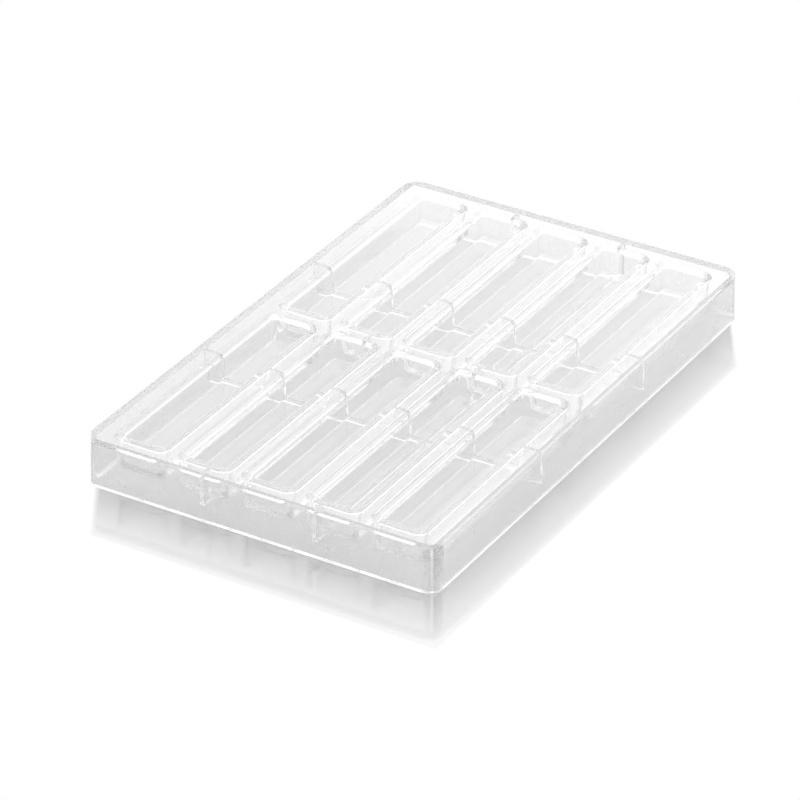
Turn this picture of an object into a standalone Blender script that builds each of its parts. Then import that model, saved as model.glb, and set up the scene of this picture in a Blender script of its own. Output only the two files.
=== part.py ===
# Clear bar mould: two rows of long bar cavities in a flat deck, on a ribbed skirt.
# Metres, +Z up, the skirt stands on z = 0, X across the five columns, Y along the bars.
# The moulding is divided where its walls meet, and every joint line has the same clearance.

import bmesh
import bpy
from math import cos, pi, radians, sin, tan

# Overall body
LENGTH = 0.275
WIDTH = 0.175
HEIGHT = 0.023
CORNER_RADIUS = 0.008
SKIRT_WALL = 0.003
SKIRT_DRAFT = radians(1.0)
SKIRT_FOOT_ROUND = 0.0006
DECK_THICKNESS = 0.003
DECK_EDGE_ROUND = 0.0010
CLEARANCE = 0.0003

# Cavities, set out between margins and gaps at the top of the deck
COLUMNS = 5
SIDE_MARGIN = 0.01125
END_MARGIN = 0.0089
COLUMN_GAP = 0.0075
ROW_GAP = 0.0072
CAVITY_DEPTH = 0.0125
CAVITY_CORNER = 0.0046
CAVITY_DRAFT = radians(4.0)
RIM_ROUND = 0.002
FLOOR_ROUND = 0.0005
LIP_LAND = 0.0008
FLOOR_THICKNESS = 0.0025
UNDERSIDE_ROUND = 0.0012

# Ribs under the deck, two each way, which pass under the cups
LONG_RIBS_APART = 0.056
CROSS_RIBS_APART = 0.0917
RIB_THICKNESS = 0.002
RIB_BELOW_CUPS = 0.0015

# Facets
CORNER_STEPS = 5
RIM_STEPS = 3
FLOOR_STEPS = 2
CUTTER_REACH = 0.004

CLEAR_COLOUR = (0.90, 0.92, 0.92, 1.0)
CLEAR_ROUGHNESS = 0.08

CAVITY_WIDTH = (WIDTH - 2 * SIDE_MARGIN - (COLUMNS - 1) * COLUMN_GAP) / COLUMNS
CAVITY_LENGTH = (LENGTH - 2 * END_MARGIN - ROW_GAP) / 2
COLUMN_PITCH = CAVITY_WIDTH + COLUMN_GAP
ROW_CENTRE = (ROW_GAP + CAVITY_LENGTH) / 2
DECK_UNDERSIDE = HEIGHT - DECK_THICKNESS
SKIRT_TOP = DECK_UNDERSIDE - CLEARANCE
CUP_BOTTOM = HEIGHT - CAVITY_DEPTH - FLOOR_THICKNESS
RIB_BOTTOM = CUP_BOTTOM - RIB_BELOW_CUPS
ROWS = (("front", -ROW_CENTRE), ("rear", ROW_CENTRE))


def clear_out():
    for old in list(bpy.data.objects):
        bpy.data.objects.remove(old)


def clear_plastic(name):
    material = bpy.data.materials.new(name + "_plastic")
    material.use_nodes = True
    shader = material.node_tree.nodes["Principled BSDF"]
    shader.inputs["Base Color"].default_value = CLEAR_COLOUR
    shader.inputs["Roughness"].default_value = CLEAR_ROUGHNESS
    shader.inputs["Metallic"].default_value = 0.0
    return material


def add_object(name, bm):
    """Closes a bmesh into a named object that stands in the shared frame."""
    bmesh.ops.recalc_face_normals(bm, faces=bm.faces)
    mesh = bpy.data.meshes.new(name)
    bm.to_mesh(mesh)
    bm.free()
    mesh.shade_smooth()
    mesh.set_sharp_from_angle(angle=radians(35))
    mesh.materials.append(clear_plastic(name))
    part = bpy.data.objects.new(name, mesh)
    bpy.context.collection.objects.link(part)
    return part


def make_cutter(name, bm):
    cutter = add_object(name, bm)
    cutter.hide_render = True
    cutter.display_type = "WIRE"
    return cutter


def cut_away(part, cutter):
    cut = part.modifiers.new("clear_of_" + cutter.name, "BOOLEAN")
    cut.operation = "DIFFERENCE"
    cut.solver = "EXACT"
    cut.object = cutter


def rounded_ring(bm, centre, half_x, half_y, radius, z):
    """Vertices of a rounded rectangle, anticlockwise from its +X side."""
    ring = []
    quarters = ((1, 1, 0), (-1, 1, 1), (-1, -1, 2), (1, -1, 3))
    for side_x, side_y, quarter in quarters:
        for step in range(CORNER_STEPS + 1):
            angle = (quarter + step / CORNER_STEPS) * pi / 2
            x = centre[0] + side_x * (half_x - radius) + radius * cos(angle)
            y = centre[1] + side_y * (half_y - radius) + radius * sin(angle)
            ring.append(bm.verts.new((x, y, z)))
    return ring


def skin_rings(bm, rings):
    """Joins a run of rings side by side and caps the first and the last."""
    count = len(rings[0])
    for low, high in zip(rings, rings[1:]):
        for i in range(count):
            after = (i + 1) % count
            bm.faces.new((low[after], low[i], high[i], high[after]))
    bm.faces.new(rings[0])
    bm.faces.new(list(reversed(rings[-1])))


def arc_profile(radius, steps, start, end):
    """Offsets (outward, upward) from an arc's centre, both ends included."""
    angles = [start + (end - start) * i / steps for i in range(steps + 1)]
    return [(radius * cos(a), radius * sin(a)) for a in angles]


def cavity_profile():
    """(inset from the opening, z) from the cavity's floor up to the deck."""
    floor = HEIGHT - CAVITY_DEPTH
    rim_end = pi - CAVITY_DRAFT
    rim = [
        (x, HEIGHT - RIM_ROUND + z)
        for x, z in arc_profile(RIM_ROUND, RIM_STEPS, rim_end, pi / 2)
    ]
    wall_inset, wall_z = -rim[0][0], rim[0][1]
    foot_z = floor + FLOOR_ROUND * (1 - sin(CAVITY_DRAFT))
    foot_inset = wall_inset + (wall_z - foot_z) * tan(CAVITY_DRAFT)
    middle = foot_inset + FLOOR_ROUND * cos(CAVITY_DRAFT)
    foot = [
        (middle - x, floor + FLOOR_ROUND + z)
        for x, z in arc_profile(FLOOR_ROUND, FLOOR_STEPS, -pi / 2, -CAVITY_DRAFT)
    ]
    return foot + [(-x, z) for x, z in rim]


def cup_outside(grow=0.0):
    """(inset from the opening, z) of a cup's outside, from its lip down to its underside."""
    drop = DECK_UNDERSIDE - CUP_BOTTOM
    wall_inset = -LIP_LAND - grow
    low_inset = wall_inset + drop * tan(CAVITY_DRAFT)
    halfway = UNDERSIDE_ROUND * (1 - sin(pi / 4))
    return [
        (wall_inset, HEIGHT),
        (wall_inset, DECK_UNDERSIDE),
        (low_inset - UNDERSIDE_ROUND * tan(CAVITY_DRAFT), CUP_BOTTOM + UNDERSIDE_ROUND - grow),
        (low_inset + halfway, CUP_BOTTOM + halfway - grow),
        (low_inset + UNDERSIDE_ROUND, CUP_BOTTOM - grow),
    ]


def profile_rings(bm, centre, profile):
    return [
        rounded_ring(
            bm,
            centre,
            CAVITY_WIDTH / 2 - inset,
            CAVITY_LENGTH / 2 - inset,
            max(CAVITY_CORNER - inset, CLEARANCE),
            z,
        )
        for inset, z in profile
    ]


def column_x(column):
    return (column - (COLUMNS - 1) / 2) * COLUMN_PITCH


def cup_centres():
    for row, y in ROWS:
        for column in range(COLUMNS):
            yield row, column + 1, (column_x(column), y)


def build_cups():
    for row, number, centre in cup_centres():
        bm = bmesh.new()
        skin_rings(bm, profile_rings(bm, centre, cavity_profile() + cup_outside()))
        add_object(f"cup_{row}_{number}", bm)


def build_cup_cutter():
    """The room every cup takes, with the clearance round it, past the top of the deck."""
    bm = bmesh.new()
    for _, _, centre in cup_centres():
        outside = cup_outside(CLEARANCE)
        above = [(outside[0][0], HEIGHT + CUTTER_REACH)]
        skin_rings(bm, profile_rings(bm, centre, above + outside))
    return make_cutter("cup_room", bm)


def skirt_inset(z):
    """How far the drafted outside has moved in at height z."""
    return z * tan(SKIRT_DRAFT)


def deck_slab():
    """The flat top with its rounded outer edge, before it is divided."""
    bm = bmesh.new()
    edge = [
        (skirt_inset(HEIGHT) + DECK_EDGE_ROUND - x, HEIGHT - DECK_EDGE_ROUND + z)
        for x, z in arc_profile(DECK_EDGE_ROUND, RIM_STEPS, pi / 2, 0)
    ]
    edge.append((skirt_inset(DECK_UNDERSIDE), DECK_UNDERSIDE))
    rings = [
        rounded_ring(
            bm, (0, 0), WIDTH / 2 - inset, LENGTH / 2 - inset, CORNER_RADIUS - inset, z
        )
        for inset, z in edge
    ]
    skin_rings(bm, rings)
    return bm


def trim(bm, axis, low, high):
    """Keeps the slab between two upright planes, and closes it where they cut."""
    for place, facing in ((low, -1), (high, 1)):
        normal = [0, 0, 0]
        normal[axis] = facing
        spot = [place if i == axis else 0 for i in range(3)]
        geometry = bm.verts[:] + bm.edges[:] + bm.faces[:]
        bmesh.ops.bisect_plane(bm, geom=geometry, plane_co=spot, plane_no=normal, clear_outer=True)
        bmesh.ops.edgeloop_fill(bm, edges=[edge for edge in bm.edges if edge.is_boundary])


def deck_strip(name, x_range, y_range, cup_room):
    """One strip of the deck, cut clear of the cups, half a clearance short on each joint line."""
    bm = deck_slab()
    for axis, (low, high) in enumerate((x_range, y_range)):
        trim(bm, axis, low + CLEARANCE / 2, high - CLEARANCE / 2)
    cut_away(add_object(name, bm), cup_room)


def build_deck(cup_room):
    """Three bars across the deck, with the side margins and the webs of each row between them.
    The joint lines lie where the corners of the cavities end, and meet inside the cavities."""
    inner = ROW_GAP / 2 + CAVITY_CORNER
    outer = ROW_CENTRE + CAVITY_LENGTH / 2 - CAVITY_CORNER
    whole = (-WIDTH, WIDTH)
    deck_strip("deck_front", whole, (-LENGTH, -outer), cup_room)
    deck_strip("deck_middle", whole, (-inner, inner), cup_room)
    deck_strip("deck_rear", whole, (outer, LENGTH), cup_room)
    for row, span in (("front", (-outer, -inner)), ("rear", (inner, outer))):
        deck_strip(f"deck_left_{row}", (-WIDTH, column_x(0)), span, cup_room)
        deck_strip(f"deck_right_{row}", (column_x(COLUMNS - 1), WIDTH), span, cup_room)
        for column in range(COLUMNS - 1):
            between = (column_x(column), column_x(column + 1))
            deck_strip(f"web_{row}_{column + 1}", between, span, cup_room)


def skirt_section():
    """(inset from the outline, z) round the wall's section, foot rounded on both sides."""
    foot = SKIRT_FOOT_ROUND
    outer_foot = [
        (foot - x, foot + z) for x, z in arc_profile(foot, FLOOR_STEPS, 0, -pi / 2)
    ]
    inner_foot = [
        (SKIRT_WALL - foot - x, foot + z)
        for x, z in arc_profile(foot, FLOOR_STEPS, -pi / 2, -pi)
    ]
    top = skirt_inset(SKIRT_TOP)
    return [(top, SKIRT_TOP)] + outer_foot + inner_foot + [(top + SKIRT_WALL, SKIRT_TOP)]


def sweep_section(name, places):
    """Sweeps the skirt's section through places, each (x, y, outward angle, radius)."""
    bm = bmesh.new()
    rings = []
    for x, y, angle, radius in places:
        ring = [
            bm.verts.new((x + (radius - inset) * cos(angle), y + (radius - inset) * sin(angle), z))
            for inset, z in skirt_section()
        ]
        rings.append(ring)
    skin_rings(bm, rings)
    add_object(name, bm)


def build_skirt():
    along_x = WIDTH / 2 - CORNER_RADIUS
    along_y = LENGTH / 2 - CORNER_RADIUS
    walls = (
        ("skirt_right", 0, along_x, along_y),
        ("skirt_rear", 1, along_y, along_x),
        ("skirt_left", 2, along_x, along_y),
        ("skirt_front", 3, along_y, along_x),
    )
    for name, quarter, out, half in walls:
        angle = quarter * pi / 2
        ends = (-half + CLEARANCE, half - CLEARANCE)
        places = [
            (out * cos(angle) - t * sin(angle), out * sin(angle) + t * cos(angle), angle, CORNER_RADIUS)
            for t in ends
        ]
        sweep_section(name, places)
    corners = (
        ("corner_rear_right", 1, 1, 0),
        ("corner_rear_left", -1, 1, 1),
        ("corner_front_left", -1, -1, 2),
        ("corner_front_right", 1, -1, 3),
    )
    for name, side_x, side_y, quarter in corners:
        places = [
            (side_x * along_x, side_y * along_y, (quarter + i / CORNER_STEPS) * pi / 2, CORNER_RADIUS)
            for i in range(CORNER_STEPS + 1)
        ]
        sweep_section(name, places)


def rib_plate(name, low, high, cup_room):
    """An upright plate between two corners in plan, cut clear of the cups."""
    bm = bmesh.new()
    bmesh.ops.create_cube(bm, size=1.0)
    for vert in bm.verts:
        vert.co.x = low[0] if vert.co.x < 0 else high[0]
        vert.co.y = low[1] if vert.co.y < 0 else high[1]
        vert.co.z = RIB_BOTTOM if vert.co.z < 0 else SKIRT_TOP
    cut_away(add_object(name, bm), cup_room)


def build_ribs(cup_room):
    """Two ribs each way, which cross under the deck and pass under the cups."""
    half = RIB_THICKNESS / 2
    wall = skirt_inset(SKIRT_TOP) + SKIRT_WALL + CLEARANCE
    reach_x = WIDTH / 2 - wall
    reach_y = LENGTH / 2 - wall
    out_x = LONG_RIBS_APART / 2
    out_y = CROSS_RIBS_APART / 2
    for row, y in (("front", -out_y), ("rear", out_y)):
        rib_plate(f"cross_rib_{row}", (-reach_x, y - half), (reach_x, y + half), cup_room)
    stop = out_y - half - CLEARANCE
    start = out_y + half + CLEARANCE
    stretches = (("front", -reach_y, -start), ("middle", -stop, stop), ("rear", start, reach_y))
    for side, x in (("left", -out_x), ("right", out_x)):
        for place, low, high in stretches:
            rib_plate(f"long_rib_{side}_{place}", (x - half, low), (x + half, high), cup_room)


clear_out()
cup_room = build_cup_cutter()
build_cups()
build_deck(cup_room)
build_skirt()
build_ribs(cup_room)
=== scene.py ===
from math import cos, pi, radians, sin, tan

import bmesh
import bpy
from mathutils import Matrix, Vector


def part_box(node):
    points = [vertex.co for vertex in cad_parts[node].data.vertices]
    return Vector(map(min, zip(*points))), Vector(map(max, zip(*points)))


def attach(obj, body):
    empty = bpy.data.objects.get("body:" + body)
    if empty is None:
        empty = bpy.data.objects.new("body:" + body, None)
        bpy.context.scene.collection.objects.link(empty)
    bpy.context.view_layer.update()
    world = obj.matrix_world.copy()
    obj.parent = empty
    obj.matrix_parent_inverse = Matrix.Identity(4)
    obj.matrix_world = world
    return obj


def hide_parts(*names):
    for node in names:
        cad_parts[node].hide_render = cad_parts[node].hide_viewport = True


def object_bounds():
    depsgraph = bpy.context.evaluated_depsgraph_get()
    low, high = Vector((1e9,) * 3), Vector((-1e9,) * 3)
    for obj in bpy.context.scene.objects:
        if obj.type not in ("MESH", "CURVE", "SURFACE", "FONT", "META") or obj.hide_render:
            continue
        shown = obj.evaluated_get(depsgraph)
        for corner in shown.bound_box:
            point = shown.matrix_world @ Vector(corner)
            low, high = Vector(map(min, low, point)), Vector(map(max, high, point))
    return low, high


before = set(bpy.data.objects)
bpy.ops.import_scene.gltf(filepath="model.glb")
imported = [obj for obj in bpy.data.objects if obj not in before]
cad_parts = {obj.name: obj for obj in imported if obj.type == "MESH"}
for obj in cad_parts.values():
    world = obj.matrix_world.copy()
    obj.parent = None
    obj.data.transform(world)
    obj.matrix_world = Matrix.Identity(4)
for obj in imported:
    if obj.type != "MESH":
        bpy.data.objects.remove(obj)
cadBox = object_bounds()
cadLow, cadHigh = Vector(cadBox[0]), Vector(cadBox[1])
overall = cadHigh - cadLow
print("frame loaded, overall", [round(side, 4) for side in overall])


def deselectAll():
    if bpy.context.object and bpy.context.object.mode != "OBJECT":
        bpy.ops.object.mode_set(mode="OBJECT")
    bpy.ops.object.select_all(action="DESELECT")


def makeActive(piece):
    deselectAll()
    piece.select_set(True)
    bpy.context.view_layer.objects.active = piece


# a flat rounded rectangle, left in edit mode with its one face selected
def roundedPlate(name, width, length, height, corner, steps):
    deselectAll()
    bpy.ops.mesh.primitive_plane_add(size=1, location=(0, 0, 0))
    plate = bpy.context.object
    plate.name = name
    bpy.ops.object.mode_set(mode="EDIT")
    bpy.ops.mesh.select_all(action="SELECT")
    bpy.ops.transform.resize(value=(width, length, 1))
    bpy.ops.transform.translate(value=(0, 0, height))
    bpy.ops.mesh.bevel(offset=corner, segments=steps, affect="VERTICES")
    bpy.ops.mesh.select_all(action="SELECT")
    return plate


def extrude(rise):
    bpy.ops.mesh.extrude_region_move(TRANSFORM_OT_translate={"value": (0, 0, rise)})


# draws the selected outline in all round, as the draft does over a rise
def drawIn(width, length, inset):
    bpy.ops.transform.resize(value=(1 - 2 * inset / width, 1 - 2 * inset / length, 1))


# insets the selected face by each (inset, rise) in turn
def stepIn(steps):
    for inset, rise in steps:
        bpy.ops.mesh.inset(thickness=inset, depth=rise, use_even_offset=True)


# (across, along) steps along a quarter arc or less, angles from the arc's centre
def arcSteps(radius, start, end, count):
    angles = [start + (end - start) * i / count for i in range(count + 1)]
    points = [(radius * cos(a), radius * sin(a)) for a in angles]
    return [(abs(b[0] - a[0]), abs(b[1] - a[1])) for a, b in zip(points, points[1:])]


def finishEdit(piece):
    bpy.ops.mesh.select_all(action="SELECT")
    bpy.ops.mesh.normals_make_consistent(inside=False)
    bpy.ops.object.mode_set(mode="OBJECT")
    return piece


# gives a piece every finish of the plastic, and its faces the named one
def setFinish(piece, finish):
    piece.data.materials.clear()
    for material in plastics.values():
        piece.data.materials.append(material)
    for face in piece.data.polygons:
        face.material_index = list(plastics).index(finish)


def cutAway(piece, tool):
    makeActive(piece)
    cut = piece.modifiers.new("cut", "BOOLEAN")
    cut.operation = "DIFFERENCE"
    cut.solver = "EXACT"
    cut.object = tool
    cut.material_mode = "INDEX"
    bpy.ops.object.modifier_apply(modifier=cut.name)
    bpy.data.objects.remove(tool)


def mathNode(tree, operation, *inputs, clamp=False):
    node = tree.nodes.new("ShaderNodeMath")
    node.operation = operation
    node.use_clamp = clamp
    for socket, value in zip(node.inputs, inputs):
        if isinstance(value, (int, float)):
            socket.default_value = value
        else:
            tree.links.new(value, socket)
    return node.outputs[0]


surface = {
    "refraction": 1.585,
    "clearTint": (1.0, 1.0, 1.0, 1.0),
    "hazeTint": (0.985, 0.990, 0.990, 1.0),
    "flowScale": 38.0,  # slow waves left by the flow of the plastic
    "flowStretch": 0.45,
    "flowDetail": 2.0,
    "cloudScale": 160.0,  # patches of haze
    "cloudStretch": 1.0,
    "cloudDetail": 4.0,
    "cloudShare": 0.6,
    "rubScale": 900.0,  # fine lengthwise rubbing from scraping and stacking
    "rubStretch": 0.03,
    "rubDetail": 3.0,
    "rubFloor": 0.6,
    "rubSoftness": 0.05,
    "rubShare": 4.0,
    "rubHeight": 0.15,
    "waveDepth": 0.00006,
}
# polished outside and in the cavities, satin under the deck, frosted on the skirt's inner walls
finishes = {
    "polished": {"roughness": 0.0, "hazeRoughness": 0.05, "rubbing": 0.15, "waves": 0.08},
    "satin": {"roughness": 0.10, "hazeRoughness": 0.05, "rubbing": 0.5, "waves": 0.08},
    "frosted": {"roughness": 0.26, "hazeRoughness": 0.05, "rubbing": 0.5, "waves": 0.08},
}


def addNoise(group, place, kind):
    stretch = group.nodes.new("ShaderNodeMapping")
    stretch.inputs["Scale"].default_value = (1, surface[kind + "Stretch"], 1)
    noise = group.nodes.new("ShaderNodeTexNoise")
    noise.inputs["Scale"].default_value = surface[kind + "Scale"]
    noise.inputs["Detail"].default_value = surface[kind + "Detail"]
    group.links.new(place, stretch.inputs["Vector"])
    group.links.new(stretch.outputs["Vector"], noise.inputs["Vector"])
    return noise.outputs["Fac"]


# flow waves, rubbing and haze, which all three finishes share
def makeMouldedSurface():
    group = bpy.data.node_groups.new("mouldedSurface", "ShaderNodeTree")
    group.interface.new_socket("Rubbing", in_out="INPUT", socket_type="NodeSocketFloat")
    for name, kind in (("Haze", "Float"), ("Height", "Float"), ("Tint", "Color")):
        group.interface.new_socket(name, in_out="OUTPUT", socket_type="NodeSocket" + kind)
    given = group.nodes.new("NodeGroupInput")
    result = group.nodes.new("NodeGroupOutput")
    place = group.nodes.new("ShaderNodeTexCoord").outputs["Object"]
    flow = addNoise(group, place, "flow")
    cloud = addNoise(group, place, "cloud")
    rub = addNoise(group, place, "rub")
    above = mathNode(group, "SUBTRACT", rub, surface["rubFloor"])
    lines = mathNode(group, "SMOOTH_MAX", above, 0.0, surface["rubSoftness"])
    lines = mathNode(group, "MULTIPLY", lines, given.outputs["Rubbing"])
    lines = mathNode(group, "MULTIPLY", lines, surface["rubShare"])
    patches = mathNode(group, "MULTIPLY", cloud, cloud)
    haze = mathNode(group, "MULTIPLY_ADD", patches, surface["cloudShare"], lines, clamp=True)
    height = mathNode(group, "MULTIPLY_ADD", lines, surface["rubHeight"], flow)
    tint = group.nodes.new("ShaderNodeValToRGB")
    tint.color_ramp.elements[0].color = surface["clearTint"]
    tint.color_ramp.elements[1].color = surface["hazeTint"]
    group.links.new(haze, tint.inputs["Fac"])
    group.links.new(haze, result.inputs["Haze"])
    group.links.new(height, result.inputs["Height"])
    group.links.new(tint.outputs["Color"], result.inputs["Tint"])
    return group


def clearPlastic(name, finish):
    material = bpy.data.materials.new(name)
    material.use_nodes = True
    tree = material.node_tree
    shader = tree.nodes["Principled BSDF"]
    shader.inputs["IOR"].default_value = surface["refraction"]
    shader.inputs["Transmission Weight"].default_value = 1.0
    marks = tree.nodes.new("ShaderNodeGroup")
    marks.node_tree = mouldedSurface
    marks.inputs["Rubbing"].default_value = finish["rubbing"]
    haze = marks.outputs["Haze"]
    rough = mathNode(tree, "MULTIPLY_ADD", haze, finish["hazeRoughness"], finish["roughness"])
    bump = tree.nodes.new("ShaderNodeBump")
    bump.inputs["Strength"].default_value = finish["waves"]
    bump.inputs["Distance"].default_value = surface["waveDepth"]
    tree.links.new(marks.outputs["Height"], bump.inputs["Height"])
    tree.links.new(bump.outputs["Normal"], shader.inputs["Normal"])
    tree.links.new(rough, shader.inputs["Roughness"])
    tree.links.new(marks.outputs["Tint"], shader.inputs["Base Color"])
    return material


mouldedSurface = makeMouldedSurface()
plastics = {name: clearPlastic(name + "Plastic", finish) for name, finish in finishes.items()}
print("materials made")

body = {
    "wall": 0.003,
    "corner": 0.008,
    "innerCorner": 0.0012,
    "steepWall": 0.5,  # a face that points up or down less than this is a wall
    "draft": radians(1.0),
    "edgeRound": 0.001,
    "edgeSteps": 4,
    "cornerSteps": 16,
    "levelWithin": 1e-6,
    "sharpFrom": radians(30.0),
    "cutPast": 0.001,
}
cavity = {
    "depth": 0.0125,
    "corner": 0.0046,
    "cornerSteps": 12,
    "draft": radians(4.0),
    "rimRound": 0.002,
    "rimSteps": 8,
    "floorRound": 0.0005,
    "floorSteps": 6,
    "cutPast": 0.002,
}
cup = {
    "land": 0.0008,  # wall beyond the rim's outer line
    "corner": 0.0052,
    "fillet": 0.0015,  # where it meets the underside of the deck
    "filletSteps": 6,
    "underRound": 0.0012,
    "underSteps": 6,
    "cutPast": 0.001,
}
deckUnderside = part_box("web_front_1")[0][2]
cupBoxes = [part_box(name) for name in sorted(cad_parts) if name.startswith("cup_")]
cupCentres = [((low[0] + high[0]) / 2, (low[1] + high[1]) / 2) for low, high in cupBoxes]
cupLow, cupHigh = Vector(cupBoxes[0][0]), Vector(cupBoxes[0][1])
cavityWidth = cupHigh.x - cupLow.x - 2 * cup["land"]
cavityLength = cupHigh.y - cupLow.y - 2 * cup["land"]


# the outside: a drafted block, its foot and its top edge rounded
def makeBlock():
    block = roundedPlate("moulding", overall.x, overall.y, 0, body["corner"], body["cornerSteps"])
    extrude(overall.z)
    drawIn(overall.x, overall.y, overall.z * tan(body["draft"]))
    outline = bmesh.from_edit_mesh(block.data)
    for edge in outline.edges:
        edge.select_set(abs(edge.verts[0].co.z - edge.verts[1].co.z) < body["levelWithin"])
    bmesh.update_edit_mesh(block.data)
    bpy.ops.mesh.bevel(offset=body["edgeRound"], segments=body["edgeSteps"], affect="EDGES")
    return finishEdit(block)


# the room inside a cavity: rounded rim, drafted wall, rounded foot
def makeCavityTool():
    rim, foot, draft = cavity["rimRound"], cavity["floorRound"], cavity["draft"]
    tool = roundedPlate("cavityTool", cavityWidth, cavityLength, cadHigh.z + cavity["cutPast"],
                        cavity["corner"], cavity["cornerSteps"])
    extrude(-cavity["cutPast"])
    wallDrop = cavity["depth"] - (rim + foot) * (1 - sin(draft))
    steps = arcSteps(rim, pi / 2, draft, cavity["rimSteps"])
    steps += [(wallDrop * tan(draft), wallDrop)]
    steps += arcSteps(foot, draft, pi / 2, cavity["floorSteps"])
    stepIn([(inset, -drop) for inset, drop in steps])
    return finishEdit(tool)


# a cup's outside below the deck: fillet, drafted wall, rounded underside
def makeCupTool():
    fillet, foot, draft = cup["fillet"], cup["underRound"], cavity["draft"]
    spare = 2 * (cup["land"] + fillet)
    tool = roundedPlate("cupTool", cavityWidth + spare, cavityLength + spare,
                        deckUnderside + cup["cutPast"], cup["corner"] + fillet, cavity["cornerSteps"])
    extrude(-cup["cutPast"])
    wallDrop = deckUnderside - cupLow.z - (fillet + foot) * (1 - sin(draft))
    flare = arcSteps(fillet, 0, pi / 2 - draft, cup["filletSteps"])
    steps = [(along, across) for across, along in flare]
    steps += [(wallDrop * tan(draft), wallDrop)]
    steps += arcSteps(foot, draft, pi / 2, cup["underSteps"])
    stepIn([(inset, -drop) for inset, drop in steps])
    return finishEdit(tool)


# copies a tool to every cup's place and joins the copies
def spread(tool):
    copies = []
    for x, y in cupCentres:
        copy = tool.copy()
        copy.data = tool.data.copy()
        copy.data.transform(Matrix.Translation((x, y, 0)))
        bpy.context.collection.objects.link(copy)
        copies.append(copy)
    bpy.data.objects.remove(tool)
    makeActive(copies[0])
    for copy in copies:
        copy.select_set(True)
    bpy.ops.object.join()
    return bpy.context.object


# a rib's plate, as long as the whole body, where the frame has that rib
def makeRibTool(name):
    low, high = (Vector(corner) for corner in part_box(name))
    size = high - low
    size.z = cadHigh.z - low.z
    along = 0 if size.x > size.y else 1
    size[along] = overall[along]
    centre = (low + high) / 2
    centre[along] = 0
    centre.z = (cadHigh.z + low.z) / 2
    deselectAll()
    bpy.ops.mesh.primitive_cube_add(size=1, location=(0, 0, 0))
    tool = bpy.context.object
    bpy.ops.object.mode_set(mode="EDIT")
    bpy.ops.transform.resize(value=size)
    bpy.ops.transform.translate(value=centre)
    return finishEdit(tool)


# the room under the deck, between the skirt, the cups and the ribs
def makePocket():
    width, length = overall.x - 2 * body["wall"], overall.y - 2 * body["wall"]
    pocket = roundedPlate("pocket", width, length, -body["cutPast"],
                          body["innerCorner"], body["cornerSteps"])
    height = deckUnderside + body["cutPast"]
    extrude(height)
    drawIn(width, length, height * tan(body["draft"]))
    finishEdit(pocket)
    tools = [spread(makeCupTool())]
    tools += [makeRibTool(name) for name in ("long_rib_left_middle", "long_rib_right_middle")]
    tools += [makeRibTool(name) for name in ("cross_rib_front", "cross_rib_rear")]
    for piece in [pocket] + tools:
        setFinish(piece, "satin")
    for face in pocket.data.polygons:
        if abs(face.normal.z) < body["steepWall"]:
            face.material_index = list(plastics).index("frosted")
    for tool in tools:
        cutAway(pocket, tool)
    print("pocket made,", len(pocket.data.polygons), "faces")
    return pocket


def makeMoulding():
    block = makeBlock()
    cavities = spread(makeCavityTool())
    setFinish(block, "polished")
    setFinish(cavities, "polished")
    cutAway(block, makePocket())
    cutAway(block, cavities)
    makeActive(block)
    bpy.ops.object.shade_smooth_by_angle(angle=body["sharpFrom"])
    flats = block.modifiers.new("evenFlats", "WEIGHTED_NORMAL")
    flats.keep_sharp = True
    bpy.ops.object.modifier_apply(modifier=flats.name)
    return block


moulding = makeMoulding()
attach(moulding, "root")
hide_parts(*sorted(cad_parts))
print("moulding made,", len(moulding.data.polygons), "faces")

studio = {
    "floorSize": 6,
    "floorDrop": 0.0003,  # the foot stands clear of the floor by a hair
    "floorWhite": 0.62,
    "floorGlow": 0.3,
    "paintedShadeThrough": 0.22,  # painted shade: how much darker the open floor is painted where it is not seen directly, as through the mould
    "paintedLightSlope": (0.0, 0.6),  # painted light: how much brighter the floor under the mould is painted, per metre across and along
    # painted light: how much brighter the floor under the mould and beyond its left and rear sides is
    # painted
    "paintedLightLift": 0.22,
    "shadowFall": (0.020, -0.0334),  # how far the deck's painted shadow reaches to the right and in front
    "shadowTrim": (0.0055, 0.0085),  # the rounded corners take this off its ends
    "shadowEdge": 0.003,
    "shadowEnd": 0.06,  # share of its length over which it ends
    "shadeNear": 0.34,  # how dark the painted shadow is at the foot
    "shadeFar": 0.02,
    "mirror": 0.32,
    "mirrorFade": 0.6,
    "mirrorRoughness": 0.08,
    "roomFront": 0.75,  # room brightness behind the camera
    "roomBack": 1.4,  # and behind the mould
    "backDirection": (-0.25, 0.85, 0.45),
    "rampFrom": -0.3,
    "rampTo": 0.8,
    "bounces": 64,
    "diffuseBounces": 6,
}


# 1 outside the round-cornered outline that the mould's foot stands in
def outsideFootprint(tree, x, y):
    corner = body["corner"]
    pastX = mathNode(tree, "SUBTRACT", mathNode(tree, "ABSOLUTE", x), overall.x / 2 - corner)
    pastY = mathNode(tree, "SUBTRACT", mathNode(tree, "ABSOLUTE", y), overall.y / 2 - corner)
    cornerX = mathNode(tree, "MAXIMUM", pastX, 0.0)
    cornerY = mathNode(tree, "MAXIMUM", pastY, 0.0)
    squares = mathNode(tree, "MULTIPLY_ADD", cornerX, cornerX, mathNode(tree, "MULTIPLY", cornerY, cornerY))
    return mathNode(tree, "GREATER_THAN", mathNode(tree, "SQRT", squares), corner)
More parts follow.
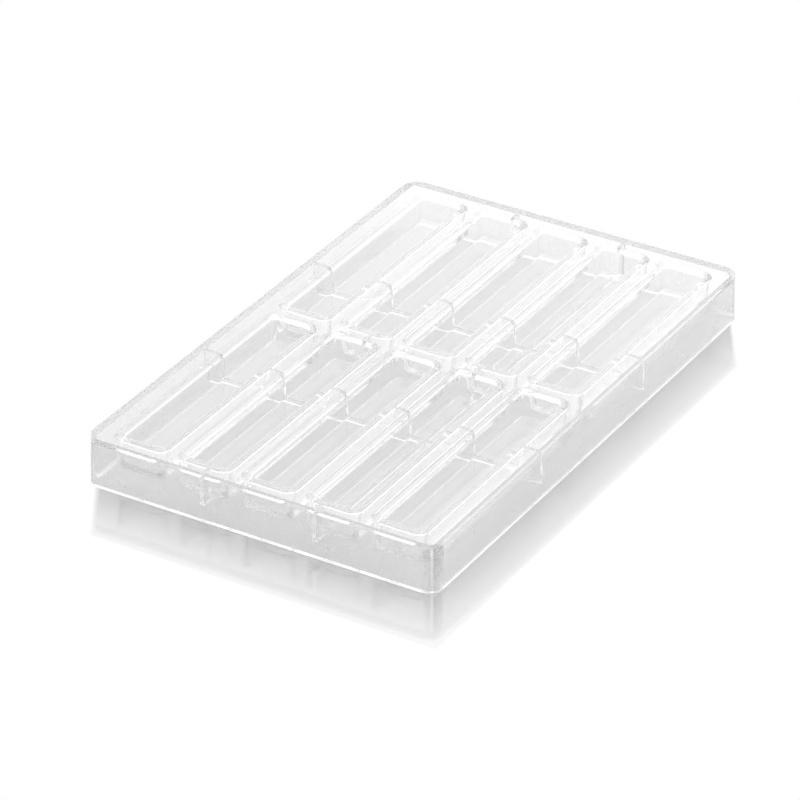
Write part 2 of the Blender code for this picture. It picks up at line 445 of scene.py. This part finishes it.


# painted shadow masks of the floor: reach is 0 along the mould's foot and 1 where the painted shadow ends
def shadowMasks(tree, x, y):
    halfX, halfY = overall.x / 2, overall.y / 2
    fallX, fallY = studio["shadowFall"]
    trimX, trimY = studio["shadowTrim"]
    outside = outsideFootprint(tree, x, y)
    pastRight = mathNode(tree, "DIVIDE", mathNode(tree, "SUBTRACT", x, halfX), fallX)
    pastFront = mathNode(tree, "DIVIDE", mathNode(tree, "ADD", y, halfY), fallY)
    past = mathNode(tree, "MAXIMUM", pastRight, pastFront)
    reach = mathNode(tree, "MAXIMUM", past, 0.0)
    inFront = mathNode(tree, "GREATER_THAN", past, 0.0)
    leftEdge = mathNode(tree, "MULTIPLY_ADD", reach, fallX, trimX - halfX)
    rearEdge = mathNode(tree, "MULTIPLY_ADD", reach, fallY, halfY - trimY)
    fromLeft = mathNode(tree, "SUBTRACT", x, leftEdge)
    fromRear = mathNode(tree, "SUBTRACT", rearEdge, y)
    fromSides = mathNode(tree, "MINIMUM", fromLeft, fromRear)
    withinSides = mathNode(tree, "DIVIDE", fromSides, studio["shadowEdge"], clamp=True)
    fromEnd = mathNode(tree, "SUBTRACT", 1.0, reach)
    withinEnd = mathNode(tree, "DIVIDE", fromEnd, studio["shadowEnd"], clamp=True)
    shaded = mathNode(tree, "MULTIPLY", mathNode(tree, "MULTIPLY", withinSides, withinEnd), outside)
    return reach, shaded, inFront, outside


# plain white past the mould, with a painted shadow beside its foot, painted light under the mould that is
# brighter towards the rear, and painted shade where the open floor is not seen directly
def floorMaterial():
    material = bpy.data.materials.new("paleFloor")
    material.use_nodes = True
    tree = material.node_tree
    nodes, links = tree.nodes, tree.links
    matt = nodes["Principled BSDF"]
    matt.inputs["Specular IOR Level"].default_value = 0.0
    matt.inputs["Emission Color"].default_value = (1, 1, 1, 1)
    mirror = nodes.new("ShaderNodeBsdfGlossy")
    mirror.inputs["Roughness"].default_value = studio["mirrorRoughness"]
    place = nodes.new("ShaderNodeTexCoord")
    apart = nodes.new("ShaderNodeSeparateXYZ")
    links.new(place.outputs["Object"], apart.inputs[0])
    x, y = apart.outputs["X"], apart.outputs["Y"]
    reach, shaded, inFront, outside = shadowMasks(tree, x, y)

    # painted light: the floor under the mould and beyond its left and rear sides is painted brighter, more
    # so towards the rear
    slope = mathNode(tree, "MULTIPLY_ADD", x, studio["paintedLightSlope"][0], studio["paintedLightLift"])
    slope = mathNode(tree, "MULTIPLY_ADD", y, studio["paintedLightSlope"][1], slope)
    under = mathNode(tree, "MULTIPLY", slope, mathNode(tree, "SUBTRACT", 1.0, inFront))
    # painted shadow: darkest at the foot, fading out along its reach
    fade = nodes.new("ShaderNodeMapRange")
    fade.inputs["To Min"].default_value = studio["shadeNear"]
    fade.inputs["To Max"].default_value = studio["shadeFar"]
    links.new(reach, fade.inputs["Value"])
    dark = mathNode(tree, "MULTIPLY", fade.outputs[0], shaded)
    level = mathNode(tree, "ADD", mathNode(tree, "SUBTRACT", 1.0, dark), under)

    # painted shade: the open floor is plain white where seen directly and painted darker where it is not,
    # as through the mould
    path = nodes.new("ShaderNodeLightPath")
    clear = mathNode(tree, "SUBTRACT", 1.0, shaded)
    bare = mathNode(tree, "MULTIPLY", path.outputs["Is Camera Ray"], clear)
    away = mathNode(tree, "MULTIPLY", clear, outside)
    dimmed = mathNode(tree, "MULTIPLY_ADD", away, -studio["paintedShadeThrough"], 1.0)
    level = mathNode(tree, "MULTIPLY", level, dimmed)
    level = mathNode(tree, "MULTIPLY", level, mathNode(tree, "SUBTRACT", 1.0, bare))

    white = mathNode(tree, "MULTIPLY", level, studio["floorWhite"], clamp=True)
    colour = nodes.new("ShaderNodeCombineColor")
    for channel in ("Red", "Green", "Blue"):
        links.new(white, colour.inputs[channel])
    links.new(colour.outputs[0], matt.inputs["Base Color"])
    glow = mathNode(tree, "MULTIPLY_ADD", level, studio["floorGlow"], bare)
    links.new(glow, matt.inputs["Emission Strength"])

    share = mathNode(tree, "MULTIPLY_ADD", reach, -studio["mirrorFade"], 1.0)
    share = mathNode(tree, "MULTIPLY", share, mathNode(tree, "MULTIPLY", shaded, studio["mirror"]))
    mix = nodes.new("ShaderNodeMixShader")
    links.new(share, mix.inputs["Fac"])
    links.new(matt.outputs[0], mix.inputs[1])
    links.new(mirror.outputs[0], mix.inputs[2])
    links.new(mix.outputs[0], nodes["Material Output"].inputs["Surface"])
    return material


deselectAll()
bpy.ops.mesh.primitive_plane_add(size=studio["floorSize"], location=(0, 0, -studio["floorDrop"]))
floor = bpy.context.object
floor.name = "floor"
floor.data.materials.append(floorMaterial())
print("floor made")

# soft room light, brighter behind and above the mould
scene = bpy.context.scene
world = bpy.data.worlds.new("softRoom")
scene.world = world
world.use_nodes = True
room = world.node_tree
direction = room.nodes.new("ShaderNodeTexCoord")
facing = room.nodes.new("ShaderNodeVectorMath")
facing.operation = "DOT_PRODUCT"
facing.inputs[1].default_value = Vector(studio["backDirection"]).normalized()
room.links.new(direction.outputs["Generated"], facing.inputs[0])
ramp = room.nodes.new("ShaderNodeMapRange")
ramp.interpolation_type = "SMOOTHSTEP"
ramp.inputs["From Min"].default_value = studio["rampFrom"]
ramp.inputs["From Max"].default_value = studio["rampTo"]
ramp.inputs["To Min"].default_value = studio["roomFront"]
ramp.inputs["To Max"].default_value = studio["roomBack"]
room.links.new(facing.outputs["Value"], ramp.inputs["Value"])
room.nodes["Background"].inputs["Color"].default_value = (1, 1, 1, 1)
room.links.new(ramp.outputs["Result"], room.nodes["Background"].inputs["Strength"])
scene.view_settings.view_transform = "Standard"
scene.cycles.max_bounces = studio["bounces"]
scene.cycles.glossy_bounces = studio["bounces"]
scene.cycles.transmission_bounces = studio["bounces"]
scene.cycles.diffuse_bounces = studio["diffuseBounces"]

# a long lens from the front right, above
view = {
    "azimuth": radians(30.86),
    "elevation": radians(30.57),
    "distance": 2.0752,
    "target": (-0.0068, -0.0078, 0),
    "lens": 211.05,
    "sensor": 36,
    "clipEnd": 20,
}
lens = bpy.data.cameras.new("camera")
lens.sensor_width = view["sensor"]
lens.lens = view["lens"]
lens.clip_end = view["clipEnd"]
camera = bpy.data.objects.new("camera", lens)
scene.collection.objects.link(camera)
flat = cos(view["elevation"])
forward = Vector((-sin(view["azimuth"]) * flat, cos(view["azimuth"]) * flat, -sin(view["elevation"])))
camera.location = Vector(view["target"]) - forward * view["distance"]
camera.rotation_euler = forward.to_track_quat("-Z", "Y").to_euler()
scene.camera = camera
print("room and camera set")
